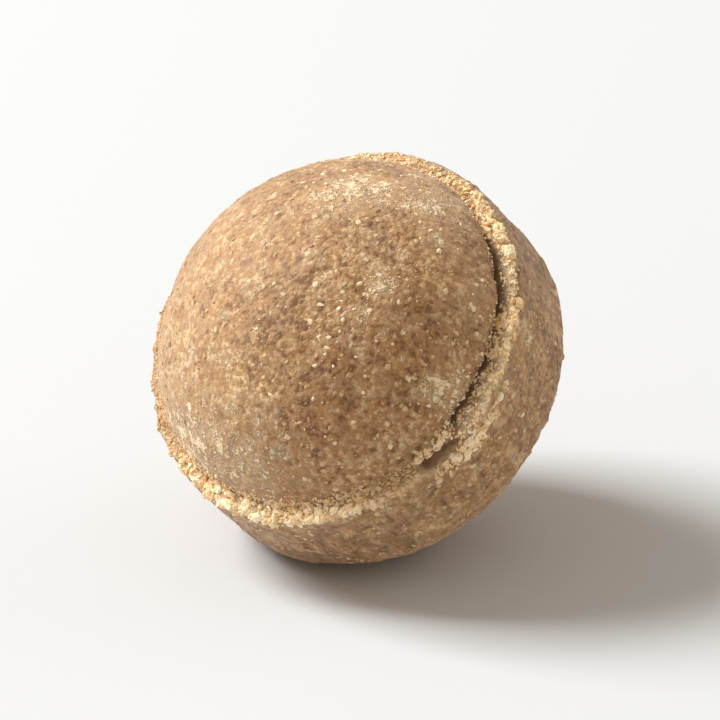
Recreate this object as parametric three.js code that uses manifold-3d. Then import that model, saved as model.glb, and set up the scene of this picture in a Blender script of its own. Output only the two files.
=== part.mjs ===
// A pearl millet ladoo: toasted flour, jaggery and ghee pressed in a two-cup ball mould.
// Millimetres, +Z up. The origin is on the floor, under the middle of the ball.
//
// The skin is described round the ball's own pressing axis, by its distance from the ball's
// middle in every direction. A direction is two angles: polar, 0 at the pole of the near cup and
// 180 at the far one, and turn, round the axis, 0 on the side where the near cup leans lowest.
import * as THREE from "three";
import { mergeVertices } from "three/addons/utils/BufferGeometryUtils.js";
import Module from "manifold-3d";

// The two domes, one from each cup, and the belt of meal that the cups leave between them.
const nearDomeRadius = 20.2;
const farDomeRadius = 19.4;
const beltRadius = 20.45;

// Along the axis, on each side: from the ball's middle to where the flat of the belt ends, and
// from there down the torn shoulder to the dome.
const nearEdge = { height: 4.4, shoulder: 2.4 };
const farEdge = { height: 3.6, shoulder: 1.9 };
const shoulderRounding = 2.3; // 1 is a straight slope, and more rounds it outwards

// How the ball lies: the near pole leans from upright towards the heading, on a pressed flat foot.
const axisLean = THREE.MathUtils.degToRad(45.5);
const axisHeading = THREE.MathUtils.degToRad(-127.5);
const footRadius = 4.6;

// Unevenness: slow swells of the whole skin, and the wandering of the belt's edges.
const swells = { height: 0.16, size: 12, seed: 3 };
const edgeWander = { height: 0.4, size: 6, seed: 11 };

// The torn shoulder: lumps of meal, and a crest two thirds of the way down, which is highest at
// one turn on the near side and opposite it on the far side.
const lumps = { height: 0.7, size: 1.6, seed: 23, from: 0.6, fade: 0.5 };
const crest = { place: 0.67, width: 0.4, mean: 0.18, swing: 0.17, highest: 25 };

// At the shoulder's foot, a seam and a shallow gutter that runs out over the dome.
const seam = { depth: 0.2, width: 0.42 };
const gutter = { depth: 0.36, width: 1.2 };

// Where the seam opens into a crevice: from one turn to another in degrees, and how deep.
const nearCrevices = [{ from: 69, to: 146, depth: 0.9 }, { from: 236, to: 280, depth: 0.5 }];
const farCrevices = [
  { from: 16, to: 72, depth: 0.5 },
  { from: 112, to: 196, depth: 0.8 },
  { from: 258, to: 322, depth: 0.6 },
];

// A flake half peeled off the near shoulder: a trench, and a second ridge on its dome side.
const flake = { from: 55, to: 76, trenchAt: 6.0, trenchDepth: 1.1, ridgeAt: 7.0, ridgeHeight: 0.8, width: 0.45 };

// Mesh: facets round the axis, and how far apart the rings lie on each stretch.
const turnSteps = 128;
const domeSpacing = 2.3;
const lipSpacing = 0.45;
const beltSpacing = 1.5;

// A repeatable number from 0 to 1 for one cell of a lattice.
function cellNumber(x, y, z, seed) {
  let mixed = Math.imul(x, 374761393) ^ Math.imul(y, 668265263);
  mixed ^= Math.imul(z, 1274126177) ^ Math.imul(seed, 974711);
  mixed = Math.imul(mixed ^ (mixed >>> 15), 2246822519);
  mixed = Math.imul(mixed ^ (mixed >>> 13), 3266489917);
  return ((mixed ^ (mixed >>> 16)) >>> 0) / 2 ** 32;
}

// A step from 0 to 1 with level ends.
function ease(value) {
  const part = THREE.MathUtils.clamp(value, 0, 1);
  return part * part * (3 - 2 * part);
}

// Slow unevenness from -1 to 1: the numbers at a cell's eight corners, eased into each other.
function swellAt(point, { size, seed }) {
  const scaled = point.clone().divideScalar(size);
  const base = scaled.clone().floor();
  const part = scaled.sub(base);
  let sum = 0;
  for (let corner = 0; corner < 8; corner++) {
    const [dx, dy, dz] = [corner & 1, (corner >> 1) & 1, corner >> 2];
    const weight = (dx ? ease(part.x) : 1 - ease(part.x))
      * (dy ? ease(part.y) : 1 - ease(part.y))
      * (dz ? ease(part.z) : 1 - ease(part.z));
    sum += weight * cellNumber(base.x + dx, base.y + dy, base.z + dz, seed);
  }
  return 2 * sum - 1;
}

// Packed lumps, one in each cell: 1 on top of a lump, and falling towards 0 between them.
function lumpAt(point, { size, seed }) {
  const scaled = point.clone().divideScalar(size);
  const base = scaled.clone().floor();
  const lump = new THREE.Vector3();
  let nearest = 1;
  for (let cell = 0; cell < 27; cell++) {
    const x = base.x + (cell % 3) - 1;
    const y = base.y + (Math.floor(cell / 3) % 3) - 1;
    const z = base.z + Math.floor(cell / 9) - 1;
    lump.set(x + cellNumber(x, y, z, seed), y + cellNumber(x, y, z, seed + 1), z + cellNumber(x, y, z, seed + 2));
    nearest = Math.min(nearest, lump.distanceToSquared(scaled));
  }
  return 1 - nearest;
}

// 1 within a stretch of turns and 0 outside it, with ends that ease in over some degrees.
function withinTurns(turn, { from, to }, easing = 9) {
  const past = THREE.MathUtils.euclideanModulo(turn - from, 360);
  return ease(past / easing) * ease((to - from - past) / easing);
}

// A ridge of height 1 across the given half-width.
const ridge = (offset, width) => Math.exp(-((offset / width) ** 2));

// The unit vector of the two angles.
function directionOf(polar, turn) {
  const round = THREE.MathUtils.degToRad(turn);
  return new THREE.Vector3(Math.sin(polar) * Math.cos(round), Math.sin(polar) * Math.sin(round), Math.cos(polar));
}

// The skin's distance from the middle of the ball in that direction.
function skinDistance(polar, turn) {
  const near = polar < Math.PI / 2;
  const dome = near ? nearDomeRadius : farDomeRadius;
  const point = directionOf(polar, turn).multiplyScalar(dome);
  const height = Math.abs(point.z); // along the axis, from the middle of the belt
  const edge = near ? nearEdge : farEdge;
  const across = height - edge.height - edgeWander.height * swellAt(point, edgeWander);
  const pastFoot = across - edge.shoulder;
  const onBelt = 1 - THREE.MathUtils.clamp(across / edge.shoulder, 0, 1) ** shoulderRounding;
  const raised = onBelt > 0 ? onBelt * (beltRadius / Math.sin(polar) - dome) : 0;

  const crevices = near ? nearCrevices : farCrevices;
  const deepest = Math.max(...crevices.map((crevice) => crevice.depth * withinTurns(turn, crevice)));
  const torn = ease((across - lumps.from) / lumps.fade) * ease(1 - pastFoot / lumps.fade);
  const round = THREE.MathUtils.degToRad(turn - crest.highest);
  const crestHeight = crest.mean + crest.swing * Math.cos(near ? round : round + Math.PI);

  let distance = dome + raised + swells.height * swellAt(point, swells);
  distance += lumps.height * torn * (lumpAt(point, lumps) - 0.85);
  distance += crestHeight * ridge(across - crest.place * edge.shoulder, crest.width);
  distance -= Math.max(seam.depth, deepest) * ridge(pastFoot, seam.width);
  distance -= gutter.depth * ridge(pastFoot, pastFoot > 0 ? gutter.width : seam.width);
  if (near) {
    const peeled = withinTurns(turn, flake, 6);
    distance -= flake.trenchDepth * peeled * ridge(height - flake.trenchAt, flake.width);
    distance += flake.ridgeHeight * peeled * ridge(height - flake.ridgeAt, flake.width);
  }
  return distance;
}

// The rings' polar angles from one pole to the middle of the belt: wide steps on the dome, and
// fine ones over the lip.
function ringAngles(edge) {
  const lipFrom = edge.height - lipSpacing;
  const lipTo = edge.height + edge.shoulder + gutter.width + domeSpacing / 2;
  const angles = [];
  let polar = 0;
  while (polar < Math.PI / 2 - beltSpacing / nearDomeRadius / 2) {
    angles.push(polar);
    const height = nearDomeRadius * Math.cos(polar);
    let spacing = beltSpacing;
    if (height > lipFrom) spacing = lipSpacing;
    if (height > lipTo) spacing = domeSpacing;
    polar += spacing / nearDomeRadius;
  }
  return angles;
}

// A sphere whose rings are moved to those angles, and each vertex out to the skin.
function ballGeometry() {
  const farAngles = ringAngles(farEdge).map((angle) => Math.PI - angle);
  const angles = [...ringAngles(nearEdge), Math.PI / 2, ...farAngles.reverse()];
  const geometry = new THREE.SphereGeometry(1, turnSteps, angles.length - 1);
  const position = geometry.getAttribute("position");
  for (let i = 0; i < position.count; i++) {
    const polar = angles[Math.floor(i / (turnSteps + 1))];
    const turn = ((i % (turnSteps + 1)) % turnSteps) * (360 / turnSteps);
    const vertex = directionOf(polar, turn).multiplyScalar(skinDistance(polar, turn));
    position.setXYZ(i, vertex.x, vertex.y, vertex.z);
  }
  return geometry;
}

const wasm = await Module();
wasm.setup();

// A closed geometry as a solid that can be cut.
function solidOf(geometry) {
  geometry.deleteAttribute("normal");
  geometry.deleteAttribute("uv");
  const merged = mergeVertices(geometry, 1e-4);
  return new wasm.Manifold(new wasm.Mesh({
    numProp: 3,
    vertProperties: new Float32Array(merged.getAttribute("position").array),
    triVerts: new Uint32Array(merged.index.array),
  }));
}

// A solid's surface as a geometry again.
function geometryOf(solid) {
  const mesh = solid.getMesh();
  const geometry = new THREE.BufferGeometry();
  geometry.setAttribute("position", new THREE.BufferAttribute(mesh.vertProperties, 3));
  geometry.setIndex(new THREE.BufferAttribute(mesh.triVerts, 1));
  geometry.computeVertexNormals();
  return geometry;
}

// The ball laid over on its far dome, and cut off level with the floor where it has settled.
function restingBall() {
  const ball = ballGeometry();
  ball.applyMatrix4(new THREE.Matrix4().makeRotationFromEuler(new THREE.Euler(0, axisLean, axisHeading, "ZYX")));
  ball.translate(0, 0, Math.sqrt(farDomeRadius ** 2 - footRadius ** 2));
  const ground = new THREE.BoxGeometry(4 * footRadius, 4 * footRadius, 4 * footRadius);
  ground.translate(0, 0, -2 * footRadius);
  return geometryOf(solidOf(ball).subtract(solidOf(ground)));
}

// Pressed meal: matt, pale brown.
const pressedMeal = new THREE.MeshStandardMaterial({ color: 0xb08d66, roughness: 0.9, metalness: 0 });

const skin = restingBall();
skin.computeBoundingBox();
const middle = skin.boundingBox.getCenter(new THREE.Vector3());
const ladoo = new THREE.Mesh(skin, pressedMeal);
ladoo.name = "ladoo";
ladoo.position.set(-middle.x, -middle.y, 0);

const sweet = new THREE.Group();
sweet.add(ladoo);

export default sweet;
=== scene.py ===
"""A pearl millet ladoo: a sweet of toasted meal, jaggery and ghee, pressed in a two-cup ball mould."""
import math

import bpy
import numpy as np
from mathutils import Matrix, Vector


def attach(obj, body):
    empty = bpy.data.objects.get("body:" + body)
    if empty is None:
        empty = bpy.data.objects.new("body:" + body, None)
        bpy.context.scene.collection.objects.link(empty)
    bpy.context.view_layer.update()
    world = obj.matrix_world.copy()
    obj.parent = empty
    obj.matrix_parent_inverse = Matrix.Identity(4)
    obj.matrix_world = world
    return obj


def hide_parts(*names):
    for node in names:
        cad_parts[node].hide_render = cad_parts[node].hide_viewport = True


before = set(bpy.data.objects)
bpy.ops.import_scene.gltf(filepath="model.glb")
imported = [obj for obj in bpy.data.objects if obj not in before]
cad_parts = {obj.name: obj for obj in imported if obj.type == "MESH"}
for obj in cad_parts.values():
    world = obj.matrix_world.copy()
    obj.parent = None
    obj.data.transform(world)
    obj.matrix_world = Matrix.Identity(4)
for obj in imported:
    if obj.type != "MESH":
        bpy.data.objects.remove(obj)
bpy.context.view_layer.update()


# The pressed ball. Meal packed into two cups and squeezed until they close: two smooth domes with
# a proud belt between them, torn along both of its edges. It is one skin, worked out as a
# distance from the ball's middle in every direction, about the axis that the cups close along.

# Lengths are in metres and turns in degrees. A pair holds the near side's value, then the far one's.
NEAR_DOME_RADIUS = 0.0202
FAR_DOME_RADIUS = 0.0194
BELT_RADIUS = 0.02045
BELT_HALF_WIDTHS = (0.0044, 0.0036)
SHOULDER_WIDTHS = (0.0024, 0.0019)
SHOULDER_ROUNDING = 2.3
MIDDLE_BLEND = 0.1

# How it lies: its near pole leans from upright towards a heading, and its far dome has settled on a
# flat foot. The origin is on the floor, under the middle of the ball's box, and the ball's own
# middle stands that far beside it.
AXIS_LEAN = math.radians(45.5)
AXIS_HEADING = math.radians(-127.5)
FOOT_RADIUS = 0.0046
MIDDLE_ABOVE = (0.00039, 0.00026)

# Unevenness all over: how high or deep it is, the size of its cells and the seed of its numbers.
SWELLS = {"height": 0.00016, "size": 0.012, "seed": 3}
PRESSES = {"height": 0.00009, "size": 0.0028, "seed": 19}
COARSE_MEAL = {"height": 0.00009, "size": 0.0011, "seed": 57}
PITS = {"height": 0.00016, "size": 0.0034, "seed": 71}

# The torn shoulder. The belt's edge wanders, and past it the tear begins in rags, with lumps, crags
# and a crest, which is highest at one turn on the near side and opposite it on the far side. From
# one turn to another the near crest gets a painted highlight in cream, and the colour of both lips is
# muted by a share.
EDGE_WANDER = {"height": 0.0004, "size": 0.006, "seed": 11}
TORN_FROM = 0.0006
TORN_FADE = 0.0005
TORN_RAGS = {"height": 0.0005, "size": 0.0016, "seed": 37}
LUMPS = {"height": 0.00060, "size": 0.0016, "seed": 23, "level": 0.85}
CRAGS = {"height": 0.00036, "size": 0.00075, "seed": 41, "level": 0.75}
CREST = {"place": 0.67, "width": 0.00034, "mean": 0.00018, "swing": 0.00017, "highest": 25}
# The turns over which the near crest gets its painted highlight.
HIGHLIT_CREST_TURNS = (-40, 160)
MUTED_LIP = [(235, 340, 0.5), (26, 72, 0.5)]
MUTED_EASING = 20

# At the shoulder's foot: a seam, a gutter, part of it filled with meal, and crevices, each from one
# turn to another with its depth.
SEAM_DEPTH = 0.0002
SEAM_WIDTH = 0.00042
SEAM_WANDER = {"reach": 0.00022, "share": 0.5, "size": 0.0017, "seed": 83}
GUTTER_DEPTH = 0.00036
GUTTER_WIDTH = 0.0012
FILLED_GUTTER = {"turns": (205, 340), "easing": 30, "share": 0.85}
NEAR_CREVICES = [(69, 146, 0.0009), (236, 280, 0.0005)]
FAR_CREVICES = [(16, 72, 0.0005), (112, 196, 0.0008), (258, 322, 0.0006)]

# A flake half peeled off: the height above the belt's middle of its trench and of its ridge, and
# how deep or high each is. Then a small ring-shaped bump on the belt.
FLAKE_TURNS = (55, 76)
FLAKE_EASING = 6.0
FLAKE_TRENCH = (0.0060, 0.0011)
FLAKE_RIDGE = (0.0070, 0.0008)
FLAKE_WIDTH = 0.00045
BELT_BUMP = {"polar": 82.5, "turn": 106.7, "radius": 0.0009, "width": 0.00035, "height": 0.00028}

# What the material reads: the depth at which the painted shade in a hollow is full, how much a gutter
# or a pit counts towards that shade, how softly the belt's streaks end, and the size of the plain ball
# on which they are laid out.
FULL_SHADE_DEPTH = 0.0009
SHALLOW_SHADE_SHARE = 0.7
BELT_FADE = 0.001
PLAIN_RADIUS = 0.02

# The mesh: facets round the axis, and how far apart the rings lie on each stretch. On both sides the
# fine rings lie between two heights over the belt's middle: the first margin below the far edge, and
# the second above the foot of the near shoulder.
TURN_STEPS = 480
RING_SPACINGS = {"dome": 0.00042, "lip": 0.00014, "belt": 0.0003}
LIP_MARGINS = (0.0002, 0.0012)

# Pale dusty patches: angle from the near pole, turn, radius and strength of each.
DUST = [(30, 188, 0.0010, 1.0), (31, 180, 0.0009, 0.9), (36, 182, 0.0010, 1.0), (42, 179, 0.0011, 1.0),
        (45, 177, 0.0009, 1.0), (44, 167, 0.0011, 1.0), (37, 170, 0.0010, 1.0), (40, 159, 0.0010, 0.9),
        (59, 169, 0.0010, 1.0), (45, 151, 0.0010, 1.0), (50, 148, 0.0012, 1.0), (55, 150, 0.0008, 0.8),
        (48, 161, 0.0016, 0.7), (30, 166, 0.0016, 0.6), (25, 174, 0.0012, 0.5), (57, 158, 0.0014, 0.5),
        (58, 150, 0.0022, 0.6), (30, 106, 0.0010, 0.9), (34, 109, 0.0010, 0.9), (31, 88, 0.0012, 0.5),
        (50, 134, 0.0018, 0.6), (61, 115, 0.0020, 0.5), (56, 76, 0.0008, 0.9), (60, 77, 0.0008, 0.9),
        (60, 81, 0.0008, 0.9), (63, 86, 0.0008, 0.9), (65, 77, 0.0009, 0.8), (56, 81, 0.0007, 0.8),
        (66, 82, 0.0007, 0.8), (20, 337, 0.0070, 0.15), (42, 290, 0.0070, 0.2), (40, 240, 0.0060, 0.2),
        (56, 2, 0.0054, 0.7), (56, 336, 0.0040, 0.75), (67, 334, 0.0024, 0.9), (66, 320, 0.0030, 0.9),
        (67, 304, 0.0032, 0.9), (68, 288, 0.0030, 0.9), (69, 272, 0.0028, 0.9), (68, 255, 0.0026, 0.8),
        (68, 238, 0.0024, 0.8), (67, 220, 0.0022, 0.7), (67, 202, 0.0020, 0.8), (66, 186, 0.0016, 0.8),
        (36, 178, 0.0045, 0.25), (59, 79, 0.0024, 0.1), (6, 150, 0.0050, 0.1), (80, 108, 0.0010, 0.9),
        (118, 60, 0.0060, 0.5), (132, 210, 0.0050, 0.6), (150, 320, 0.0060, 0.5),
        (112, 285, 0.0036, 0.6)]

# The far dome is cut off where it is as wide as the foot, which gives the middle's height.
middle = np.array([*MIDDLE_ABOVE, math.sqrt(FAR_DOME_RADIUS**2 - FOOT_RADIUS**2)])


def ease(value):
    """A step from 0 to 1 with level ends: three times the square less twice the cube."""
    part = np.clip(value, 0, 1)
    return part * part * (3 - 2 * part)


def cell_number(cells, seed):
    """A repeatable number from 0 to 1 for each lattice cell: its three indices and the seed, each
    times a large odd number, are mixed together bit by bit."""
    x, y, z = ((cells[..., axis] & 0xFFFFFFFF).astype(np.uint32) for axis in range(3))
    bits = (x * np.uint32(374761393)) ^ (y * np.uint32(668265263)) ^ (z * np.uint32(1274126177))
    bits ^= np.uint32((seed * 974711) & 0xFFFFFFFF)
    bits = (bits ^ (bits >> np.uint32(15))) * np.uint32(2246822519)
    bits = (bits ^ (bits >> np.uint32(13))) * np.uint32(3266489917)
    return (bits ^ (bits >> np.uint32(16))) / 2.0**32


def swell_at(points, size, seed):
    """Slow unevenness from -1 to 1: the numbers at a cell's eight corners, eased into each other."""
    scaled = points / size
    base = np.floor(scaled).astype(np.int64)
    part = ease(scaled - base)
    total = np.zeros(points.shape[:-1])
    for corner in np.ndindex(2, 2, 2):
        weight = np.prod(np.where(corner, part, 1 - part), axis=-1)
        total += weight * cell_number(base + corner, seed)
    return 2 * total - 1


def neighbours_of(points, size, seed):
    """For each of the 27 cells round a point: the cell, and the squared distance in cell sizes from
    the point to the one spot that lies at random inside that cell."""
    scaled = points / size
    base = np.floor(scaled).astype(np.int64)
    for neighbour in np.ndindex(3, 3, 3):
        cell = base + neighbour - 1
        spot = cell + np.stack([cell_number(cell, seed + k) for k in range(3)], axis=-1)
        yield cell, np.sum((spot - scaled) ** 2, axis=-1)


def uneven(points, kind):
    """Slow unevenness of one kind: its height times the swell of its cell size and seed."""
    return kind["height"] * swell_at(points, kind["size"], kind["seed"])


def lumpy(points, kind):
    """Packed lumps, one in each cell: 1 less the squared distance to the nearest lump's middle, less
    the kind's level, so only what stands over that level is proud."""
    nearest = np.ones(points.shape[:-1])
    for _, away in neighbours_of(points, kind["size"], kind["seed"]):
        nearest = np.minimum(nearest, away)
    return 1 - nearest - kind["level"]


def pitted(points, kind):
    """Small pits, in two cells out of five: the sum of bell curves of the distance to each, whose
    widths are a twelfth to a fifth of a cell."""
    total = np.zeros(points.shape[:-1])
    for cell, away in neighbours_of(points, kind["size"], kind["seed"]):
        width = 0.08 + 0.12 * cell_number(cell, kind["seed"] + 3)
        is_pit = cell_number(cell, kind["seed"] + 4) < 0.4
        total += is_pit * np.exp(-away / width**2)
    return np.minimum(total, 1)


def within_turns(turn, start, end, easing=9.0):
    """1 within a stretch of turns and 0 outside it, with ends that ease in over some degrees."""
    past = np.mod(turn - start, 360)
    return ease(past / easing) * ease((end - start - past) / easing)


def ridge(offset, width):
    """A ridge of height 1 whose flanks fall as a bell curve of the given half-width."""
    return np.exp(-((offset / width) ** 2))


def direction_of(polar, turn):
    """The unit vector at an angle from the near pole, in radians, and a turn round the axis, in
    degrees."""
    around = np.radians(turn)
    x, y = np.sin(polar) * np.cos(around), np.sin(polar) * np.sin(around)
    return np.stack([x, y, np.cos(polar)], axis=-1)


def angle_from(polar, turn, spot_polar, spot_turn):
    """The angle in radians between a direction and a spot's, which is given in degrees, from the
    dot product of the two."""
    spot = direction_of(np.array(math.radians(spot_polar)), np.array(float(spot_turn)))
    return np.arccos(np.clip(direction_of(polar, turn) @ spot, -1, 1))


def past_edge(polar, turn):
    """How far a place lies from the belt's wandering edge, along the axis and towards its dome."""
    dome = np.where(polar < math.pi / 2, NEAR_DOME_RADIUS, FAR_DOME_RADIUS)
    point = direction_of(polar, turn) * dome[..., None]
    half_width = np.where(polar < math.pi / 2, *BELT_HALF_WIDTHS)
    return np.abs(point[..., 2]) - half_width - uneven(point, EDGE_WANDER)


def deepest(turn, crevices):
    """How deep the crevices of one side are at a turn: the deepest of those that reach it."""
    return np.max([depth * within_turns(turn, a, b) for a, b, depth in crevices], axis=0)


def skin_of(polar, turn):
    """The skin's distance from the middle, and from 0 to 1 how torn it is, how deep in a hollow it
    lies, which the material darkens as painted shade, and how much of it is the crest of the shoulder,
    which the material paints with a cream highlight. The distance is a dome's radius, raised to the
    belt's cylinder over the shoulder's slope, plus swells, crest, lumps and crags, less the seam, the
    gutter where meal doesn't fill it, the crevices, the trench behind the flake and the pits. The
    unevenness is read at the dome's radius, which eases from one dome's to the other's over the
    belt's middle."""
    near = polar < math.pi / 2
    dome = np.where(near, NEAR_DOME_RADIUS, FAR_DOME_RADIUS)
    from_far = ease(0.5 + np.cos(polar) / MIDDLE_BLEND)
    sampled = FAR_DOME_RADIUS + (NEAR_DOME_RADIUS - FAR_DOME_RADIUS) * from_far
    point = direction_of(polar, turn) * sampled[..., None]
    height = np.abs(point[..., 2])
    across = past_edge(polar, turn)
    shoulder = np.where(near, *SHOULDER_WIDTHS)
    past_foot = across - shoulder
    wander = swell_at(point, SEAM_WANDER["size"], SEAM_WANDER["seed"])
    ragged_share = 1 + SEAM_WANDER["share"] * wander

    # The belt's cylinder, which stops widening where it would run off towards a pole.
    cylinder = BELT_RADIUS / np.maximum(np.sin(polar), 0.5)
    on_belt = 1 - np.clip(across / shoulder, 0, 1) ** SHOULDER_ROUNDING
    raised = on_belt * (cylinder - dome)
    torn_from = TORN_FROM + uneven(point, TORN_RAGS)
    torn = ease((across - torn_from) / TORN_FADE) * ease((shoulder - across) / TORN_FADE + 1)
    highest = np.where(near, CREST["highest"], CREST["highest"] + 180)
    crest = CREST["mean"] + CREST["swing"] * np.cos(np.radians(turn - highest))
    on_crest = ridge(across - CREST["place"] * shoulder, CREST["width"])

    crevice = np.where(near, deepest(turn, NEAR_CREVICES), deepest(turn, FAR_CREVICES))
    seam = np.maximum(SEAM_DEPTH, crevice)
    in_seam = seam * ragged_share * ridge(past_foot + SEAM_WANDER["reach"] * wander, SEAM_WIDTH)
    filled = near * within_turns(turn, *FILLED_GUTTER["turns"], FILLED_GUTTER["easing"])
    gutter_width = np.where(past_foot > 0, GUTTER_WIDTH, SEAM_WIDTH)
    in_gutter = (1 - FILLED_GUTTER["share"] * filled) * GUTTER_DEPTH * ridge(past_foot, gutter_width)
    peeled = near * within_turns(turn, *FLAKE_TURNS, FLAKE_EASING)
    in_trench = FLAKE_TRENCH[1] * peeled * ridge(height - FLAKE_TRENCH[0], FLAKE_WIDTH)
    in_pit = pitted(point, PITS) * (1 - torn)

    distance = dome + raised + uneven(point, SWELLS)
    distance += LUMPS["height"] * torn * lumpy(point, LUMPS)
    distance += CRAGS["height"] * torn * lumpy(point, CRAGS)
    distance += crest * ragged_share * on_crest
    distance += uneven(point, PRESSES)
    distance += uneven(point, COARSE_MEAL)
    distance += FLAKE_RIDGE[1] * peeled * ridge(height - FLAKE_RIDGE[0], FLAKE_WIDTH)
    bump_away = BELT_RADIUS * angle_from(polar, turn, BELT_BUMP["polar"], BELT_BUMP["turn"])
    distance += BELT_BUMP["height"] * ridge(bump_away - BELT_BUMP["radius"], BELT_BUMP["width"])
    distance -= in_seam + in_gutter + in_trench + PITS["height"] * in_pit

    # Painted shade: how dark the hollows are, full in a deep seam or trench, less in the gutter and
    # the pits.
    hollow_shade = np.clip((in_seam + in_trench + SHALLOW_SHADE_SHARE * in_gutter) / FULL_SHADE_DEPTH, 0, 1)
    # Painted highlight: the near crest, from one turn to another, away from the flake.
    crest_highlight = near * within_turns(turn, *HIGHLIT_CREST_TURNS) * on_crest * (1 - peeled)
    return distance, torn, np.maximum(hollow_shade, SHALLOW_SHADE_SHARE * in_pit), crest_highlight


def muted_at(turn):
    """How muted the torn meal's colour is at a turn, from 0 to the share of each stretch."""
    return sum(share * within_turns(turn, a, b, MUTED_EASING) for a, b, share in MUTED_LIP)


def laid_over(vectors):
    """Vectors about the ball's own axis, leaned over by a turn about Y and then headed about Z."""
    lean = np.array([[math.cos(AXIS_LEAN), 0, math.sin(AXIS_LEAN)], [0, 1, 0],
                     [-math.sin(AXIS_LEAN), 0, math.cos(AXIS_LEAN)]])
    head = np.array([[math.cos(AXIS_HEADING), -math.sin(AXIS_HEADING), 0],
                     [math.sin(AXIS_HEADING), math.cos(AXIS_HEADING), 0], [0, 0, 1]])
    return vectors @ (head @ lean).T


def dust_at(polar, turn):
    """How dusty the skin is: each patch's strength times a bell curve of the distance to it."""
    total = np.zeros(polar.shape)
    for patch_polar, patch_turn, radius, strength in DUST:
        away = NEAR_DOME_RADIUS * angle_from(polar, turn, patch_polar, patch_turn)
        total += strength * ridge(away, radius)
    return np.clip(total, 0, 1)


def ring_angles():
    """Angles of the rings from pole to pole, in radians: fine steps over each lip, wider ones
    elsewhere."""
    lip_from = BELT_HALF_WIDTHS[1] - LIP_MARGINS[0]
    lip_to = BELT_HALF_WIDTHS[0] + SHOULDER_WIDTHS[0] + LIP_MARGINS[1]
    angles = []
    polar = 0.0
    while polar < math.pi / 2:
        angles.append(polar)
        height = NEAR_DOME_RADIUS * math.cos(polar)
        if height > lip_to:
            stretch = "dome"
        elif height > lip_from:
            stretch = "lip"
        else:
            stretch = "belt"
        polar += RING_SPACINGS[stretch] / NEAR_DOME_RADIUS
    return np.array(angles + [math.pi - angle for angle in reversed(angles)])


def ball_faces(rings, steps):
    """Faces of a closed ball of rings: quads between the rings, and a fan of triangles round each
    pole. The vertices go ring by ring, and the two poles come last."""
    here = np.arange(steps)[None, :]
    after = (here + 1) % steps
    start = np.arange(rings - 3)[:, None] * steps
    next_start = start + steps
    corners = [start + here, next_start + here, next_start + after, start + after]
    quads = np.stack(corners, axis=-1)
    last = (rings - 3) * steps
    pole = (rings - 2) * steps
    top = np.stack([np.full(steps, pole), here[0], after[0]], axis=-1)
    bottom = np.stack([np.full(steps, pole + 1), last + after[0], last + here[0]], axis=-1)
    return quads.reshape(-1, 4), np.vstack([top, bottom])


def bodies_mesh(name, bodies, rings, steps):
    """One mesh of closed balls: bodies is an array of their vertices, ball by ball, and each ball
    has the same faces, numbered on from the one before. A single ball is shaded smooth, and many
    small ones keep their facets."""
    quads, triangles = ball_faces(rings, steps)
    count, per_body = bodies.shape[:2]
    shift = np.arange(count)[:, None, None] * per_body
    all_quads = (quads[None] + shift).reshape(-1, 4)
    all_triangles = (triangles[None] + shift).reshape(-1, 3)
    sides = np.concatenate([np.full(len(all_quads), 4), np.full(len(all_triangles), 3)])
    mesh = bpy.data.meshes.new(name)
    mesh.vertices.add(count * per_body)
    mesh.vertices.foreach_set("co", bodies.ravel())
    mesh.loops.add(int(sides.sum()))
    mesh.loops.foreach_set("vertex_index", np.concatenate([all_quads.ravel(), all_triangles.ravel()]))
    mesh.polygons.add(len(sides))
    mesh.polygons.foreach_set("loop_start", np.concatenate([[0], np.cumsum(sides)[:-1]]))
    mesh.update(calc_edges=True)
    mesh.validate()
    if count == 1:
        mesh.shade_smooth()
    else:
        mesh.shade_flat()
    piece = bpy.data.objects.new(name, mesh)
    bpy.context.scene.collection.objects.link(piece)
    print(name, "triangles", int((sides - 2).sum()))
    return piece


def give(piece, name, values):
    """A named number for each vertex of a piece, which its material reads."""
    piece.data.attributes.new(name, "FLOAT", "POINT").data.foreach_set("value", np.ravel(values))


def body_order(grid):
    """A grid of rings in the order of ball_faces: inner rings first, then one value for each pole."""
    flat = grid[1:-1].reshape(-1, *grid.shape[2:])
    return np.concatenate([flat, grid[:1, 0], grid[-1:, 0]])


turns = np.arange(TURN_STEPS) * 360 / TURN_STEPS
polar_grid, turn_grid = np.meshgrid(ring_angles(), turns, indexing="ij")
distance_grid, torn_grid, hollow_shade_grid, crest_highlight_grid = skin_of(polar_grid, turn_grid)
skin = middle + laid_over(direction_of(polar_grid, turn_grid) * distance_grid[..., None])
skin[..., 2] = np.maximum(skin[..., 2], 0)  # the flat foot: nothing stays below the floor
ball = bodies_mesh("pressed_ball", body_order(skin)[None], len(polar_grid), TURN_STEPS)
vivid_grid = 1 - muted_at(turn_grid)
give(ball, "torn", body_order(torn_grid * vivid_grid))
# The painted shade of the hollows, which the material reads.
give(ball, "hollow_shade", body_order(hollow_shade_grid))
# The crest's painted highlight, which the material reads.
give(ball, "crest_highlight", body_order(crest_highlight_grid * vivid_grid))
give(ball, "dust", body_order(dust_at(polar_grid, turn_grid)))
give(ball, "belt", body_order(ease(0.5 - past_edge(polar_grid, turn_grid) / BELT_FADE)))
plain_ball = body_order(direction_of(polar_grid, turn_grid) * PLAIN_RADIUS)
about_axis = ball.data.attributes.new("about_axis", "FLOAT_VECTOR", "POINT")
about_axis.data.foreach_set("vector", plain_ball.ravel())


def add(tree, kind, sockets=None, **settings):
    """One node: settings are its properties, and sockets its inputs, as values or as other nodes'
    outputs."""
    made = tree.nodes.new("ShaderNode" + kind)
    for name, value in settings.items():
        setattr(made, name, value)
    for name, value in (sockets or {}).items():
        if isinstance(value, bpy.types.NodeSocket):
            tree.links.new(value, made.inputs[name])
        else:
            made.inputs[name].default_value = value
    return made


def linear(red, green, blue):
    """A display colour from 0 to 255 as the linear colour of a socket, by a display's power curve."""
    return tuple(((value / 255 + 0.055) / 1.055) ** 2.4 for value in (red, green, blue)) + (1.0,)


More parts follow.
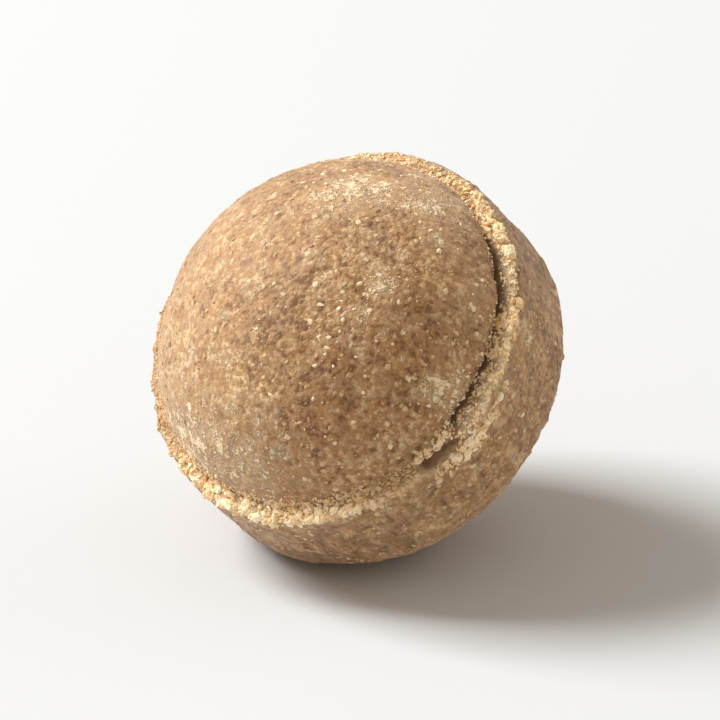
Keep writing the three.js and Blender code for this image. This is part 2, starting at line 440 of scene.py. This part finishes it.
def mixed(tree, factor, first, second, blend="MIX"):
    """A colour mix: the factor, then the two colours, which are the node's inputs 6 and 7. Its
    output 2 is the mixed colour."""
    made = tree.nodes.new("ShaderNodeMix")
    made.data_type = "RGBA"
    made.blend_type = blend
    for index, value in ((0, factor), (6, first), (7, second)):
        if isinstance(value, bpy.types.NodeSocket):
            tree.links.new(value, made.inputs[index])
        else:
            made.inputs[index].default_value = value
    return made.outputs[2]


def maths(tree, operation, *values):
    """One arithmetic node over the values, each a number or an output."""
    made = tree.nodes.new("ShaderNodeMath")
    made.operation = operation
    for index, value in enumerate(values):
        if isinstance(value, bpy.types.NodeSocket):
            tree.links.new(value, made.inputs[index])
        else:
            made.inputs[index].default_value = value
    return made.outputs[0]


def stepped(tree, value, start, end):
    """0 at the start value, 1 at the end value and eased between them."""
    made = add(tree, "MapRange", {"Value": value, "From Min": start, "From Max": end},
               interpolation_type="SMOOTHSTEP")
    return made.outputs["Result"]


def noise(tree, place, scale, detail=2.0, roughness=0.55):
    """Soft noise about one half, with so many features to the metre."""
    sockets = {"Vector": place, "Scale": scale, "Detail": detail, "Roughness": roughness}
    return add(tree, "TexNoise", sockets).outputs["Fac"]


def meal_group():
    """The grain of pressed meal. Its tone adds up blotches 9 mm across, mottling of 2.4 mm and of
    1 mm, and grains and flour of 0.5 mm and less, and runs between three colours. Each cell of
    1.25 mm holds a round spot, which is a paler, proud fleck of bran in one cell of three, a sunk
    pinhole darkened with painted shade in one of eleven, and nothing in the rest."""
    tree = bpy.data.node_groups.new("meal grain", "ShaderNodeTree")
    face = tree.interface
    face.new_socket("Size", in_out="INPUT", socket_type="NodeSocketFloat").default_value = 1.0
    face.new_socket("Contrast", in_out="INPUT", socket_type="NodeSocketFloat").default_value = 1.0
    face.new_socket("Flecks", in_out="INPUT", socket_type="NodeSocketFloat").default_value = 1.0
    for name in ("Dark", "Middle", "Pale"):
        face.new_socket(name, in_out="INPUT", socket_type="NodeSocketColor")
    face.new_socket("Color", in_out="OUTPUT", socket_type="NodeSocketColor")
    face.new_socket("Height", in_out="OUTPUT", socket_type="NodeSocketFloat")
    given = tree.nodes.new("NodeGroupInput")
    result = tree.nodes.new("NodeGroupOutput")
    place = add(tree, "TexCoord").outputs["Object"]
    sized = add(tree, "VectorMath", {0: place}, operation="SCALE")
    tree.links.new(given.outputs["Size"], sized.inputs["Scale"])
    here = sized.outputs[0]
    warp = add(tree, "TexNoise", {"Vector": here, "Scale": 2600.0, "Detail": 2.0}).outputs["Color"]
    bend = {0: warp, 1: (0.0004, 0.0004, 0.0004), 2: here}
    bent = add(tree, "VectorMath", bend, operation="MULTIPLY_ADD").outputs[0]

    cells = add(tree, "TexVoronoi", {"Vector": bent, "Scale": 1900.0})
    cell_tone = add(tree, "SeparateColor", {"Color": cells.outputs["Color"]}).outputs["Red"]
    flour = noise(tree, here, 1900.0, 4.0, 0.72)
    blotches = noise(tree, here, 110.0, 3.0)
    mottling = noise(tree, here, 420.0, 2.0)
    specks = noise(tree, here, 950.0, 2.0)
    tone = 0.0
    parts = ((blotches, 0.7), (mottling, 0.5), (specks, 0.9), (flour, 0.9), (cell_tone, 0.34))
    for part, share in parts:
        tone = maths(tree, "MULTIPLY_ADD", maths(tree, "SUBTRACT", part, 0.5), share, tone)
    tone = maths(tree, "MULTIPLY_ADD", tone, given.outputs["Contrast"], 0.5)
    to_middle = stepped(tree, tone, 0.1, 0.5)
    to_pale = stepped(tree, tone, 0.5, 0.95)
    colour = mixed(tree, to_middle, given.outputs["Dark"], given.outputs["Middle"])
    colour = mixed(tree, to_pale, colour, given.outputs["Pale"])

    spots = add(tree, "TexVoronoi", {"Vector": bent, "Scale": 800.0})
    spot_kind = add(tree, "SeparateColor", {"Color": spots.outputs["Color"]})
    spot_size = maths(tree, "MULTIPLY_ADD", spot_kind.outputs["Green"], 0.18, 0.10)
    spot_reach = maths(tree, "DIVIDE", spots.outputs["Distance"], spot_size)
    spot = maths(tree, "SUBTRACT", 1.0, stepped(tree, spot_reach, 0.6, 1.2))
    is_fleck = maths(tree, "GREATER_THAN", spot_kind.outputs["Red"], 0.66)
    is_hole = maths(tree, "LESS_THAN", spot_kind.outputs["Red"], 0.09)
    fleck = maths(tree, "MULTIPLY", spot, is_fleck)
    fleck = maths(tree, "MULTIPLY", fleck, given.outputs["Flecks"])
    hole = maths(tree, "MULTIPLY", spot, is_hole)
    hole = maths(tree, "MULTIPLY", hole, given.outputs["Flecks"])
    pale_bran = linear(230, 204, 160)
    pinhole_shade = linear(92, 60, 36)
    colour = mixed(tree, maths(tree, "MULTIPLY", fleck, 0.75), colour, pale_bran)
    # Painted shade in the pinholes: mixed towards a dark brown.
    colour = mixed(tree, maths(tree, "MULTIPLY", hole, 0.6), colour, pinhole_shade)
    tree.links.new(colour, result.inputs["Color"])

    height = maths(tree, "MULTIPLY", flour, 0.9)
    height = maths(tree, "MULTIPLY_ADD", cells.outputs["Distance"], -0.6, height)
    height = maths(tree, "MULTIPLY_ADD", fleck, 0.7, height)
    height = maths(tree, "MULTIPLY_ADD", hole, -1.0, height)
    tree.links.new(height, result.inputs["Height"])
    return tree


meal_grain = meal_group()


def place_meal(tree, size, contrast, flecks, dark, middle_tone, pale):
    """The shared meal grain, placed in one material with its own values."""
    made = tree.nodes.new("ShaderNodeGroup")
    made.node_tree = meal_grain
    names = ("Size", "Contrast", "Flecks", "Dark", "Middle", "Pale")
    for name, value in zip(names, (size, contrast, flecks, dark, middle_tone, pale)):
        made.inputs[name].default_value = value
    return made


def read(tree, name):
    """A number that a piece gives its vertices."""
    return add(tree, "Attribute", attribute_name=name).outputs["Fac"]


def ball_material():
    """Pressed meal: the grain, finely streaked along the axis on the belt where the cups' rims slid,
    golden where it tore, cream in the dusty patches, with a painted cream highlight on the crest and
    painted shade in the hollows."""
    material = bpy.data.materials.new("pressed meal")
    material.use_nodes = True
    tree = material.node_tree
    shader = tree.nodes["Principled BSDF"]
    shader.inputs["Specular IOR Level"].default_value = 0.35
    shader.inputs["Sheen Weight"].default_value = 0.22
    shader.inputs["Sheen Roughness"].default_value = 0.5
    shader.inputs["Sheen Tint"].default_value = (1.0, 0.98, 0.95, 1.0)
    browns = (linear(120, 80, 46), linear(172, 127, 81), linear(222, 188, 142))
    rubbed_brown = linear(172, 134, 94)
    flour_film = linear(230, 192, 148)
    shred_tones = (linear(208, 152, 98), linear(255, 222, 172))
    painted_highlight_cream = linear(255, 230, 186)
    flour_cream = linear(255, 224, 180)
    painted_shade_brown = linear(100, 57, 28)
    streak_tones = ((0.70, 0.66, 0.60, 1), (1.34, 1.36, 1.38, 1))
    hue_shifts = ((1.03, 0.98, 0.91, 1), (0.985, 1.0, 1.08, 1))
    place = add(tree, "TexCoord").outputs["Object"]
    belt = read(tree, "belt")
    torn = read(tree, "torn")
    dust = read(tree, "dust")

    # The grain. On the belt it is rubbed, and streaked along the axis.
    grain = place_meal(tree, 1.0, 1.0, 1.0, *browns)
    along = add(tree, "Attribute", attribute_name="about_axis").outputs["Vector"]
    drawn_out = {0: along, 1: (1.0, 1.0, 0.36)}
    stretched = add(tree, "VectorMath", drawn_out, operation="MULTIPLY").outputs[0]
    streak = stepped(tree, noise(tree, stretched, 900.0, 4.0, 0.68), 0.32, 0.68)
    colour = mixed(tree, maths(tree, "MULTIPLY", belt, 0.15), grain.outputs["Color"], rubbed_brown)
    streaks = mixed(tree, streak, *streak_tones)
    colour = mixed(tree, maths(tree, "MULTIPLY", belt, 0.85), colour, streaks, "MULTIPLY")
    hue = stepped(tree, noise(tree, place, 380.0, 2.0), 0.35, 0.65)
    colour = mixed(tree, 1.0, colour, mixed(tree, hue, *hue_shifts), "MULTIPLY")

    # A film of flour, then the torn shreds, the crest's painted highlight, patches of flour, and the
    # painted shade in the hollows.
    colour = mixed(tree, maths(tree, "MULTIPLY", dust, 0.45), colour, flour_film)
    shreds = noise(tree, place, 1500.0, 4.0, 0.7)
    shred_tone = mixed(tree, stepped(tree, shreds, 0.35, 0.65), *shred_tones)
    colour = mixed(tree, maths(tree, "MULTIPLY", torn, 0.85), colour, shred_tone)
    # Painted highlight on the crest, in cream.
    colour = mixed(tree, maths(tree, "MULTIPLY", read(tree, "crest_highlight"), 0.85), colour, painted_highlight_cream)
    broken = maths(tree, "MULTIPLY_ADD", noise(tree, place, 950.0, 4.0, 0.7), 7.5, -4.6)
    dusty = stepped(tree, maths(tree, "MULTIPLY_ADD", dust, 1.35, broken), 0.0, 0.8)
    colour = mixed(tree, maths(tree, "MULTIPLY", dusty, 0.8), colour, flour_cream)
    # Painted shade in the hollows: mixed towards a dark brown, less where the skin is dusty.
    shade_strength = maths(tree, "MULTIPLY_ADD", dust, -0.45, 0.78)
    hollow_shade = maths(tree, "MULTIPLY", read(tree, "hollow_shade"), shade_strength)
    colour = mixed(tree, hollow_shade, colour, painted_shade_brown)
    tree.links.new(colour, shader.inputs["Base Color"])

    # Rougher where torn, and proud in the streaks, the shreds and the flour. A film of flour evens
    # out the grain under it.
    roughness = maths(tree, "MULTIPLY_ADD", noise(tree, place, 700.0, 2.0), 0.3, 0.46)
    roughness = maths(tree, "MULTIPLY_ADD", torn, 0.2, roughness)
    tree.links.new(roughness, shader.inputs["Roughness"])
    rubs = maths(tree, "MULTIPLY", streak, belt)
    relief = maths(tree, "MULTIPLY_ADD", rubs, 0.8, grain.outputs["Height"])
    evened = maths(tree, "MULTIPLY_ADD", maths(tree, "MINIMUM", dust, 0.2), -2.0, 1.0)
    relief = maths(tree, "MULTIPLY", relief, evened)
    relief = maths(tree, "MULTIPLY_ADD", maths(tree, "MULTIPLY", shreds, torn), 4.5, relief)
    relief = maths(tree, "MULTIPLY_ADD", dusty, maths(tree, "MULTIPLY_ADD", shreds, 2.0, 0.2), relief)
    bump = add(tree, "Bump", {"Strength": 0.9, "Distance": 0.00022, "Height": relief})
    tree.links.new(bump.outputs["Normal"], shader.inputs["Normal"])
    return material


ball.data.materials.append(ball_material())
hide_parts("ladoo")
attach(ball, "root")


# The torn crumbs. Meal that was squeezed out between the rims breaks off as they part and leaves a
# crumbly band down the shoulder on both edges of the belt. Each crumb is a ball chipped flat on
# several sides, part sunk in the skin.

# Each row of a band is a turn, and there the band's width, its crumbs' size and how crowded they are.
NEAR_BAND = [(0, 0.0014, 1.2, 0.8), (35, 0.0014, 1.0, 0.9), (50, 0.0013, 0.9, 0.9),
             (57, 0.0008, 0.8, 0.3), (68, 0.0008, 0.8, 0.3), (74, 0.0018, 0.6, 1.1),
             (86, 0.0014, 0.75, 1.0), (100, 0.0014, 0.85, 1.0), (140, 0.0016, 1.0, 1.0),
             (156, 0.0012, 0.8, 0.8), (172, 0.0011, 0.6, 0.7), (205, 0.0013, 0.5, 0.7),
             (260, 0.0013, 0.45, 0.6), (300, 0.0013, 0.5, 0.6), (325, 0.0014, 0.8, 0.8),
             (340, 0.0014, 1.2, 0.9)]
FAR_BAND = [(345, 0.0010, 0.6, 0.5), (10, 0.0008, 0.5, 0.4), (60, 0.0010, 0.5, 0.4),
            (120, 0.0008, 0.45, 0.3), (150, 0.0010, 0.6, 0.5), (170, 0.0014, 1.0, 1.0),
            (215, 0.0016, 1.0, 1.0), (250, 0.0011, 1.0, 0.7), (300, 0.0015, 1.2, 1.0),
            (325, 0.0012, 0.9, 0.9)]
WIDEST_BAND = 0.0020
BAND_PAST_FOOT = 0.0001
ACROSS_BAND = (1.1, 1.3)
CLUMPS = {"polar": 1.2, "mean": 0.75, "swing": 0.5, "size": 0.0016, "seed": 91}
CRUMBS_A_BAND = 2150
DRAWS_A_CRUMB = 6

# By the flake: crumbs on its ridge, from one turn to another, and crumbs spilled over the belt's edge
# beside it, scattered about a turn, and from a height above the belt's middle down by part of a
# reach, most of them by less than half of it.
RIDGE_CRUMBS = 50
RIDGE_TURNS = (58, 71)
RIDGE_SCATTER = 0.0002
SPALL_CRUMBS = 200
SPALL_TURN = 72
SPALL_SCATTER = 6.5
SPALL_FROM = 0.0053
SPALL_REACH = 0.0022
DOWN_REACH = (1.2, 2.4)
FLAKE_CRUMB_SIZES = (0.6, 1.25)

# One crumb: the range of its radii, most of them near the low end, how uneven and how long it is,
# how far it may stand out in radii and how far it is sunk, and the tilt and facets of its ball.
CRUMB_RADII = (0.00014, 0.00052)
CRUMB_SMALLNESS = 1.8
CRUMB_UNEVENNESS = (0.65, 1.25)
CRUMB_STRETCH = (1.4, 0.85, 0.9)
CRUMB_LIFTS = (-0.4, 0.5)
CRUMB_SUNK = 0.25
LARGE_CRUMB_SUNK = 0.35
CRUMB_SHAPE = {"tilt": 2.0, "rings": 7, "steps": 8, "chips": 8}

# Any crumb: how near its middle its chips cut and how slantwise they still do, how rough it is, how
# far its long side strays from the belt's way, how near the floor and how deep in a crevice it may
# lie, and how its tone is shared between its own and a painted light, palest at one turn.
CHIP_HEIGHTS = (0.4, 0.95)
LEAST_COSINE = 0.05
CRUMB_ROUGHNESS = (0.80, 1.16)
SIDE_STRAY = 0.6
FLOOR_CLEARANCE = 0.00003
DEEPEST_CRUMB = 0.88
TONE_SHARES = {"own": 0.66, "painted light side": 0.34}
PAINTED_LIGHT_TURN = 60


def chipped(rng, count, rings, steps, chips):
    """Crumbs of radius 1. In each direction a crumb reaches to the sphere or to the nearest of its
    random planes: a plane's height over the cosine of the angle between the two. Then every point
    moves in or out a little, which leaves the crumb rough."""
    angles = np.linspace(0, math.pi, rings)
    polar, turn = np.meshgrid(angles, np.arange(steps) * 360 / steps, indexing="ij")
    directions = body_order(direction_of(polar, turn))
    planes = rng.normal(size=(count, chips, 3))
    planes /= np.linalg.norm(planes, axis=-1, keepdims=True)
    heights = rng.uniform(*CHIP_HEIGHTS, size=(count, 1, chips))
    cosines = np.einsum("vi,nki->nvk", directions, planes)
    faces_it = cosines > LEAST_COSINE
    reach = np.where(faces_it, heights / np.maximum(cosines, LEAST_COSINE), 1.0)
    rough = rng.uniform(*CRUMB_ROUGHNESS, size=reach.shape[:2])
    return directions * (np.minimum(reach.min(axis=-1), 1.0) * rough)[..., None]


def strewn(name, rng, polar, turn, lift, radii, tilt, rings, steps, chips, least=0.0):
    """One mesh of crumbs. Each is stretched by its three radii, the first mostly along the belt and
    the last outwards, tilted at random, and moved to the skin plus its lift, unless it would touch
    the floor or lie deep in a crevice. Its tone adds its own random share to a painted light that
    grows towards one turn as a cosine, and is no less than the least given."""
    out = direction_of(polar, turn)
    up = out + tilt * rng.normal(size=out.shape)
    up /= np.linalg.norm(up, axis=-1, keepdims=True)
    along_belt = direction_of(np.full(turn.shape, math.pi / 2), turn + 90)
    side = along_belt + SIDE_STRAY * rng.normal(size=out.shape)
    side -= np.sum(side * up, axis=-1, keepdims=True) * up
    side /= np.linalg.norm(side, axis=-1, keepdims=True)
    frames = np.stack([side, np.cross(up, side), up], axis=1)
    shapes = chipped(rng, len(polar), rings, steps, chips) * radii[:, None, :]
    placed = np.einsum("nvi,nij->nvj", shapes, frames)
    distance, _, hollow_shade, _ = skin_of(polar, turn)
    placed += (out * (distance + lift)[:, None])[:, None, :]
    bodies = middle + laid_over(placed)
    clear_of_floor = bodies[..., 2].min(axis=1) > FLOOR_CLEARANCE
    kept = clear_of_floor & (hollow_shade < DEEPEST_CRUMB)
    bodies = bodies[kept]
    piece = bodies_mesh(name, bodies, rings, steps)
    # Painted light: crumbs and flecks are paler towards one turn, as if lit there.
    painted_light_side = 0.5 + 0.5 * np.cos(np.radians(turn[kept] - PAINTED_LIGHT_TURN))
    own = rng.uniform(size=len(bodies))
    tone = TONE_SHARES["own"] * own + TONE_SHARES["painted light side"] * painted_light_side
    tone = np.maximum(tone, np.broadcast_to(least, kept.shape)[kept])
    give(piece, "tone", np.repeat(tone, bodies.shape[1]))
    give(piece, "muted", np.repeat(muted_at(turn[kept]), bodies.shape[1]))
    return piece


def band_places(rng, band, near, count):
    """Places in one torn band, as angle, turn and crumb size. Turns are drawn where the band is
    crowded, clumped and wide, and the place across it is drawn over its width, by a beta curve that
    leans towards the shoulder's foot. The angle then follows the belt's wandering edge."""
    table = np.array(sorted(band))
    turn = rng.uniform(0, 360, size=count * DRAWS_A_CRUMB)
    width, size, crowding = (np.interp(turn, table[:, 0], table[:, k], period=360) for k in (1, 2, 3))
    round_axis = direction_of(np.full(turn.shape, CLUMPS["polar"]), turn) * PLAIN_RADIUS
    clumps = CLUMPS["mean"] + CLUMPS["swing"] * swell_at(round_axis, CLUMPS["size"], CLUMPS["seed"])
    kept = rng.uniform(size=turn.size) < crowding * clumps * width / WIDEST_BAND
    turn, width, size = turn[kept][:count], width[kept][:count], size[kept][:count]
    end = 0 if near else 1
    share = rng.beta(*ACROSS_BAND, size=turn.size)
    across = SHOULDER_WIDTHS[end] + BAND_PAST_FOOT - width * share
    dome = NEAR_DOME_RADIUS if near else FAR_DOME_RADIUS
    polar = np.arccos((BELT_HALF_WIDTHS[end] + across) / dome)
    polar = polar if near else math.pi - polar
    towards_belt = 1 if near else -1
    polar = polar + towards_belt * (past_edge(polar, turn) - across) / (dome * np.sin(polar))
    return polar, turn, size


def mostly_small(rng, radii, power, count):
    """Radii from the first to the second: a random share of the way, raised to a power that keeps
    most of them small."""
    low, high = radii
    return low + (high - low) * rng.uniform(size=count) ** power


def crumb_sizes(rng, size):
    """Three radii for each crumb: each is its own share of one radius, and the first is longest."""
    radius = size * mostly_small(rng, CRUMB_RADII, CRUMB_SMALLNESS, len(size))
    return radius[:, None] * rng.uniform(*CRUMB_UNEVENNESS, size=(len(size), 3)) * CRUMB_STRETCH


def crumb_band(name, rng, polar, turn, size):
    """The crumbs of one band. Each is lifted or sunk by part of its radius: the large ones are sunk
    more, and so are those round turn 270."""
    radii = crumb_sizes(rng, size)
    sunk = CRUMB_SUNK - CRUMB_SUNK * np.sin(np.radians(turn))
    lift = radii[:, 2] * (rng.uniform(*CRUMB_LIFTS, size=len(radii)) - sunk)
    lift -= LARGE_CRUMB_SUNK * (radii[:, 2] - CRUMB_RADII[0])
    return strewn(name, rng, polar, turn, lift, radii, **CRUMB_SHAPE)


rng = np.random.default_rng(5)
near_places = band_places(rng, NEAR_BAND, True, CRUMBS_A_BAND)
ridge_turn = rng.uniform(*RIDGE_TURNS, size=RIDGE_CRUMBS)
spall_turn = rng.normal(SPALL_TURN, SPALL_SCATTER, size=SPALL_CRUMBS)
ridge_height = rng.normal(FLAKE_RIDGE[0], RIDGE_SCATTER, size=RIDGE_CRUMBS)
spall_height = SPALL_FROM - SPALL_REACH * rng.beta(*DOWN_REACH, size=SPALL_CRUMBS)
flake_turn = np.append(ridge_turn, spall_turn)
flake_polar = np.arccos(np.append(ridge_height, spall_height) / NEAR_DOME_RADIUS)
flake_places = (flake_polar, flake_turn, rng.uniform(*FLAKE_CRUMB_SIZES, size=len(flake_turn)))
all_near = [np.concatenate(parts) for parts in zip(near_places, flake_places)]
near_crumbs = crumb_band("near_crumbs", rng, *all_near)
far_crumbs = crumb_band("far_crumbs", rng, *band_places(rng, FAR_BAND, False, CRUMBS_A_BAND))


def ramped(tree, value, *stops):
    """A ramp from value to colour, with (place, colour) stops."""
    made = tree.nodes.new("ShaderNodeValToRGB")
    tree.links.new(value, made.inputs["Fac"])
    ramp = made.color_ramp
    while len(ramp.elements) < len(stops):
        ramp.elements.new(0.5)
    for element, (place, colour) in zip(ramp.elements, stops):
        element.position = place
        element.color = colour
    return made.outputs["Color"]


def crumb_material():
    """Broken meal, which never touched a cup: paler and rougher. Each crumb has a tone from golden
    brown to cream, its own share plus a painted light towards one turn, and is browner where the lip
    is muted."""
    material = bpy.data.materials.new("torn meal")
    material.use_nodes = True
    tree = material.node_tree
    shader = tree.nodes["Principled BSDF"]
    shader.inputs["Specular IOR Level"].default_value = 0.25
    shader.inputs["Roughness"].default_value = 0.85
    creams = (linear(212, 162, 106), linear(252, 218, 170), linear(255, 245, 222))
    golden_to_cream = ((0.0, linear(198, 130, 64)), (0.2, linear(238, 180, 108)),
                       (0.42, linear(252, 218, 164)), (0.7, linear(255, 236, 196)),
                       (1.0, linear(255, 250, 232)))
    muted_brown = linear(196, 152, 106)
    grain = place_meal(tree, 1.25, 1.1, 0.4, *creams)
    own = ramped(tree, read(tree, "tone"), *golden_to_cream)
    colour = mixed(tree, 0.5, grain.outputs["Color"], own)
    colour = mixed(tree, read(tree, "muted"), colour, muted_brown)
    tree.links.new(colour, shader.inputs["Base Color"])
    bump = add(tree, "Bump", {"Strength": 0.7, "Distance": 0.00009, "Height": grain.outputs["Height"]})
    tree.links.new(bump.outputs["Normal"], shader.inputs["Normal"])
    return material


torn_meal = crumb_material()
for crumbs in (near_crumbs, far_crumbs):
    crumbs.data.materials.append(torn_meal)
    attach(crumbs, "root")


# The fine crumbs. Coarse flour that came loose with the torn crumbs: it lies between them, on the
# walls of the crevices, and thinly on the skin beside each band and in the dusty patches.

# How many lie by each band and on the patches, how far they spread, as an angle and as a share of a
# patch's radius, then their sizes, and how far they stand out, or are sunk on the patches.
FINE_BY_THE_BANDS = (3600, 1900)
FINE_ON_PATCHES = 3600
FINE_SPREAD = 0.02
PATCH_SPREAD = 0.75
FINE_RADII = (0.00007, 0.00018)
FINE_SMALLNESS = 1.6
FINE_UNEVENNESS = (0.7, 1.3)
FINE_LIFT = 0.00016
FINE_LIFTS = (-0.4, 1.0)
PATCH_SUNK = 0.6
FINE_SHAPE = {"tilt": 2.0, "rings": 4, "steps": 5, "chips": 3}

# By the bands: places as for the torn crumbs, spread over the domes by an angle, which on the near
# side is up to three times as wide round turn 270.
near_fine = band_places(rng, NEAR_BAND, True, FINE_BY_THE_BANDS[0])
far_fine = band_places(rng, FAR_BAND, False, FINE_BY_THE_BANDS[1])
far_spread = np.abs(rng.normal(0, FINE_SPREAD, size=len(far_fine[0])))
near_spread = np.abs(rng.normal(0, FINE_SPREAD, size=len(near_fine[0])))
near_spread *= 2 - np.sin(np.radians(near_fine[1]))

# On the dusty patches: more on the large and strong ones, about each patch's middle.
dust_rows = np.array(DUST)
crowding = dust_rows[:, 2] * dust_rows[:, 3] ** 2
patch = dust_rows[rng.choice(len(DUST), size=FINE_ON_PATCHES, p=crowding / crowding.sum())]
away = patch[:, 2] * PATCH_SPREAD * rng.normal(size=(2, FINE_ON_PATCHES)) / NEAR_DOME_RADIUS
patch_polar = np.radians(patch[:, 0]) + away[0]
patch_turn = patch[:, 1] + np.degrees(away[1] / np.sin(np.radians(patch[:, 0])))

fine_polar = np.concatenate([near_fine[0] - near_spread, far_fine[0] + far_spread, patch_polar])
fine_turn = np.concatenate([near_fine[1], far_fine[1], patch_turn])
fine_radius = mostly_small(rng, FINE_RADII, FINE_SMALLNESS, len(fine_polar))
fine_radii = fine_radius[:, None] * rng.uniform(*FINE_UNEVENNESS, size=(len(fine_radius), 3))
fine_lift = FINE_LIFT * rng.uniform(*FINE_LIFTS, size=len(fine_radius))
fine_lift[-FINE_ON_PATCHES:] = -PATCH_SUNK * fine_radius[-FINE_ON_PATCHES:]
fine = strewn("fine_crumbs", rng, fine_polar, fine_turn, fine_lift, fine_radii, **FINE_SHAPE)
fine.data.materials.append(torn_meal)
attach(fine, "root")


# The flecks of bran. Flat bits of husk and coarse grain that were pressed into the skin all over the
# domes and the belt, three quarters sunk in it, from toasted brown to cream.

# How many there are, their sizes, how thick they are for their width, and how far they are sunk. The
# large ones are the palest, and lie where the table says: angle from the near pole, turn and radius.
FLECKS = 5200
FLECK_RADII = (0.00012, 0.00042)
FLECK_SMALLNESS = 2.4
FLECK_UNEVENNESS = (0.7, 1.3)
FLECK_THICKNESS = 0.32
LARGE_FLECK_THICKNESS = 0.5
FLECK_SUNK = 0.45
FLECK_SHAPE = {"tilt": 0.15, "rings": 5, "steps": 6, "chips": 4}
LARGE_FLECKS = np.array([
    (51, 137, 0.00036), (49, 128, 0.00034), (59, 141, 0.00042), (60, 117, 0.00036), (60, 109, 0.00034),
    (31, 113, 0.00045), (48, 137, 0.00036), (50, 131, 0.00042), (62, 120, 0.00045), (59, 110, 0.00036),
    (38, 101, 0.00036), (44, 60, 0.00034), (38, 40, 0.00036), (52, 40, 0.00034), (34, 20, 0.00030),
    (65, 88, 0.00032), (55, 80, 0.00030), (56, 76, 0.00036), (60, 76, 0.00034), (61, 82, 0.00036),
    (68, 82, 0.00032), (65, 79, 0.00034), (64, 76, 0.00030), (60, 80, 0.00030), (63, 85, 0.00032),
    (60, 73, 0.00028), (64, 82, 0.00034), (42, 195, 0.00044), (46, 188, 0.00050), (40, 184, 0.00040),
    (38, 175, 0.00044), (52, 177, 0.00048), (37, 201, 0.00040), (36, 195, 0.00036), (41, 165, 0.00042),
    (46, 182, 0.00040), (43, 160, 0.00038), (44, 175, 0.00040), (37, 189, 0.00034), (14, 97, 0.00042),
    (26, 106, 0.00040), (23, 91, 0.00032), (23, 85, 0.00036), (31, 92, 0.00036), (27, 89, 0.00034),
    (26, 80, 0.00036), (27, 73, 0.00034), (24, 61, 0.00036), (26, 66, 0.00032), (29, 57, 0.00034),
    (30, 49, 0.00032), (33, 57, 0.00034)])

fleck_polar = np.append(np.radians(LARGE_FLECKS[:, 0]), np.arccos(rng.uniform(-1, 1, size=FLECKS)))
fleck_turn = np.append(LARGE_FLECKS[:, 1], rng.uniform(0, 360, size=FLECKS))
small_radius = mostly_small(rng, FLECK_RADII, FLECK_SMALLNESS, FLECKS)
fleck_radius = np.append(LARGE_FLECKS[:, 2], small_radius)
fleck_radii = fleck_radius[:, None] * rng.uniform(*FLECK_UNEVENNESS, size=(len(fleck_radius), 3))
is_large = np.arange(len(fleck_radius)) < len(LARGE_FLECKS)
fleck_radii[:, 2] *= np.where(is_large, LARGE_FLECK_THICKNESS, FLECK_THICKNESS)
fleck_lift = -FLECK_SUNK * fleck_radii[:, 2]
fleck_least = np.where(is_large, 1.0, 0.0)
flecks = strewn("bran_flecks", rng, fleck_polar, fleck_turn, fleck_lift, fleck_radii,
                least=fleck_least, **FLECK_SHAPE)


def fleck_material():
    """Husk: each fleck has a tone from toasted brown to pale cream, its own share plus a painted light
    towards one turn.
    """
    material = bpy.data.materials.new("bran")
    material.use_nodes = True
    tree = material.node_tree
    shader = tree.nodes["Principled BSDF"]
    shader.inputs["Specular IOR Level"].default_value = 0.35
    shader.inputs["Roughness"].default_value = 0.7
    husks = (linear(150, 110, 70), linear(204, 170, 126), linear(236, 214, 176))
    toasted_to_pale = ((0.0, linear(118, 80, 48)), (0.22, linear(158, 114, 72)),
                       (0.55, linear(196, 156, 110)), (0.8, linear(220, 188, 142)),
                       (1.0, linear(248, 230, 194)))
    grain = place_meal(tree, 1.6, 0.8, 0.0, *husks)
    own = ramped(tree, read(tree, "tone"), *toasted_to_pale)
    colour = mixed(tree, 0.7, grain.outputs["Color"], own)
    tree.links.new(colour, shader.inputs["Base Color"])
    return material


flecks.data.materials.append(fleck_material())
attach(flecks, "root")


# Floor, light and camera: a white table under a large soft light from the upper left, with a white
# card at the right, seen from the front and 24 degrees above.
VIEW_ELEVATION = math.radians(24.0)
VIEW_DISTANCE = 0.80
VIEW_LENS = 400.0
TABLE_WHITE = (0.61, 0.60, 0.60, 1)
ROOM_LIGHT = (1.0, 0.93, 0.80, 1)

bpy.ops.mesh.primitive_plane_add(size=6.0)
floor = bpy.context.object
floor.name = "floor"
white = bpy.data.materials.new("white table")
white.use_nodes = True
white.node_tree.nodes["Principled BSDF"].inputs["Base Color"].default_value = TABLE_WHITE
white.node_tree.nodes["Principled BSDF"].inputs["Roughness"].default_value = 0.9
floor.data.materials.append(white)

world = bpy.data.worlds.new("studio")
world.use_nodes = True
world.node_tree.nodes["Background"].inputs["Color"].default_value = ROOM_LIGHT
world.node_tree.nodes["Background"].inputs["Strength"].default_value = 0.47
bpy.context.scene.world = world


def soft_light(name, toward, distance, size, power, colour):
    """A square area light that faces the ball from the given direction."""
    light = bpy.data.lights.new(name, "AREA")
    light.size = size
    light.energy = power
    light.color = colour
    lamp = bpy.data.objects.new(name, light)
    aim = np.array(toward) / np.linalg.norm(toward)
    lamp.location = middle + aim * distance
    lamp.rotation_euler = Vector(-aim).to_track_quat("-Z", "Y").to_euler()
    bpy.context.scene.collection.objects.link(lamp)


soft_light("window", (-0.68, 0.20, 0.70),
           distance=1.8, size=0.8, power=52.0, colour=(0.92, 0.97, 1.0))
soft_light("white card", (0.90, 0.30, 0.35),
           distance=1.1, size=0.8, power=2.5, colour=(1.0, 0.97, 0.93))

camera = bpy.data.cameras.new("camera")
camera.lens = VIEW_LENS
camera.clip_end = 50.0
eye = bpy.data.objects.new("camera", camera)
toward_eye = np.array([0.0, -math.cos(VIEW_ELEVATION), math.sin(VIEW_ELEVATION)])
eye.location = middle + toward_eye * VIEW_DISTANCE
eye.rotation_euler = (math.pi / 2 - VIEW_ELEVATION, 0, 0)
bpy.context.scene.collection.objects.link(eye)
bpy.context.scene.camera = eye
bpy.context.scene.view_settings.view_transform = "Standard"
